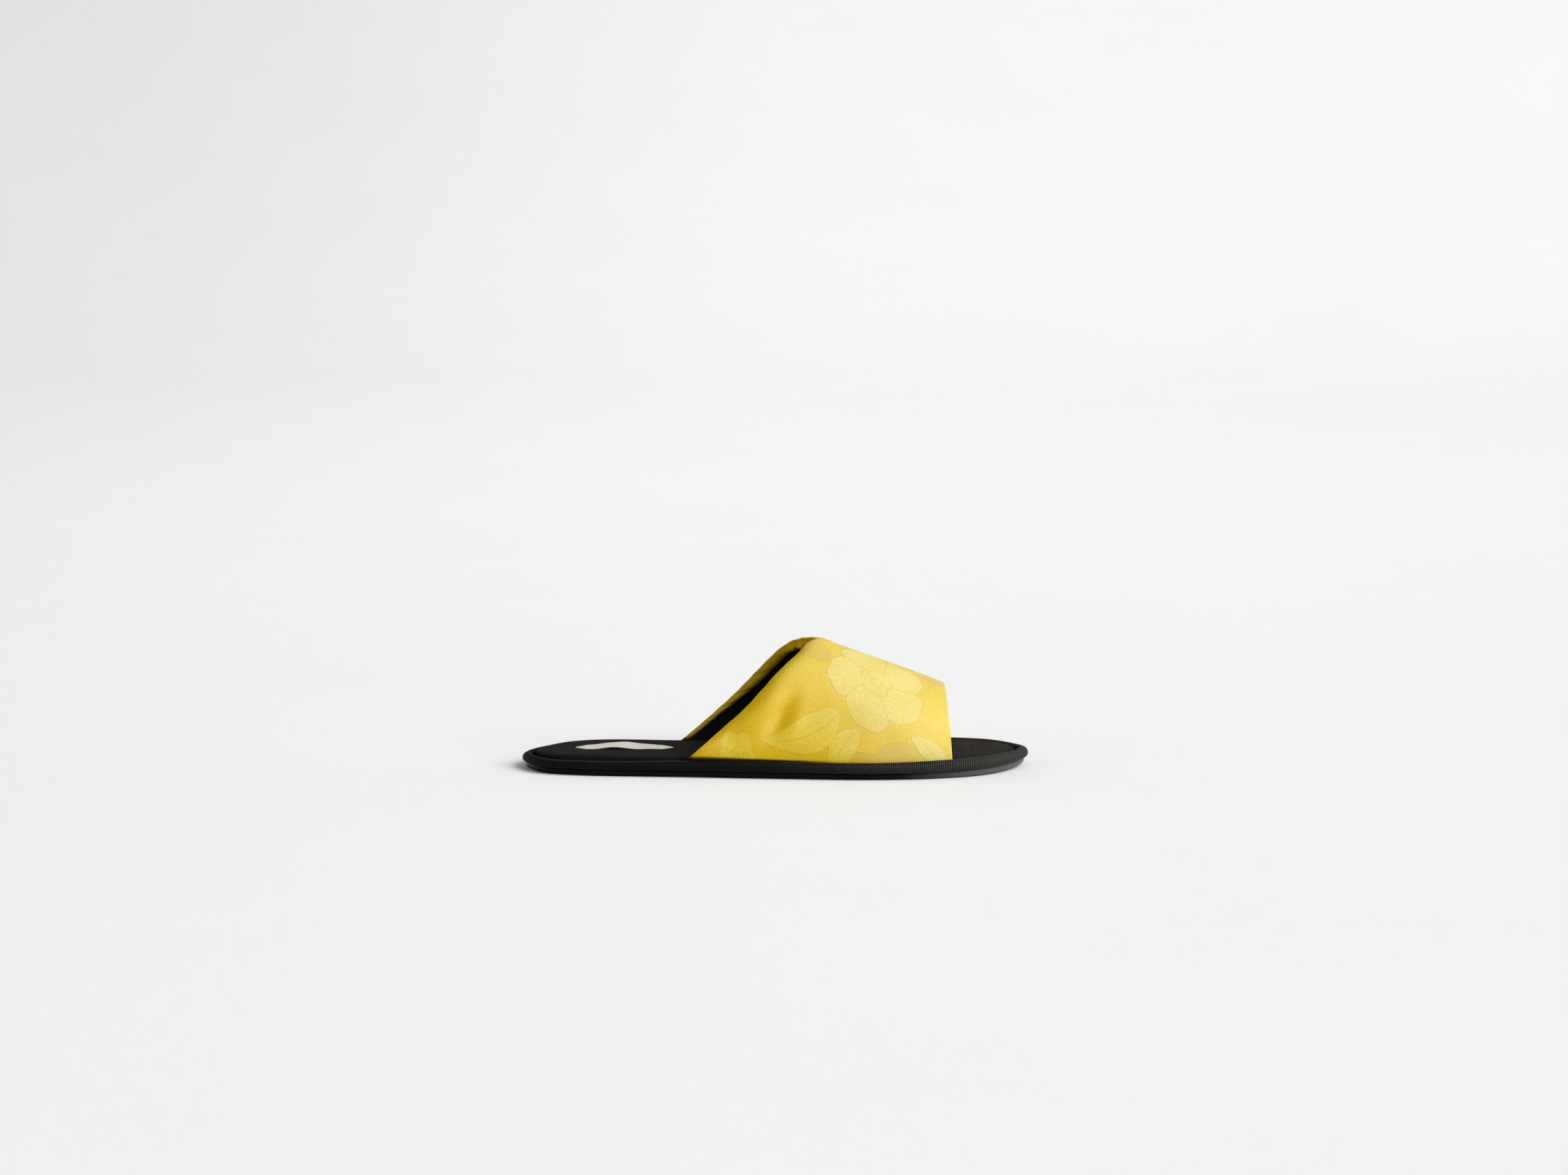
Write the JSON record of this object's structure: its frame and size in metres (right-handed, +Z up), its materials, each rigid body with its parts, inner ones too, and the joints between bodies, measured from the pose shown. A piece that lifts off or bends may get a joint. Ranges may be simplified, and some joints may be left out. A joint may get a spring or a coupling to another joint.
{
  "type": "slide sandal",
  "caption": "Open-toe slide slipper for the right foot: woven band upper over a padded footbed, ribbed ribbon edge binding and a thin rubber outsole.",
  "frame": {"origin": "on the floor under the middle of the shoe's box", "axes": "+X from heel to toe, +Y to the inner side of the foot, +Z up"},
  "size_m": [0.28, 0.0958, 0.0713],
  "materials": {
    "outsole_rubber": "smooth black rubber, slight gloss",
    "ribbon": "black ribbed ribbon, ribs across the edge",
    "felt": "black felt with a short nap",
    "jacquard": "golden yellow satin jacquard, tone on tone",
    "label_weave": "cream woven tape, plain"
  },
  "bodies": {
    "root": {"outsole": "outsole_rubber", "edge_binding": "ribbon", "insole": "felt", "upper": "jacquard", "label": "label_weave"}
  },
  "joints": []
}
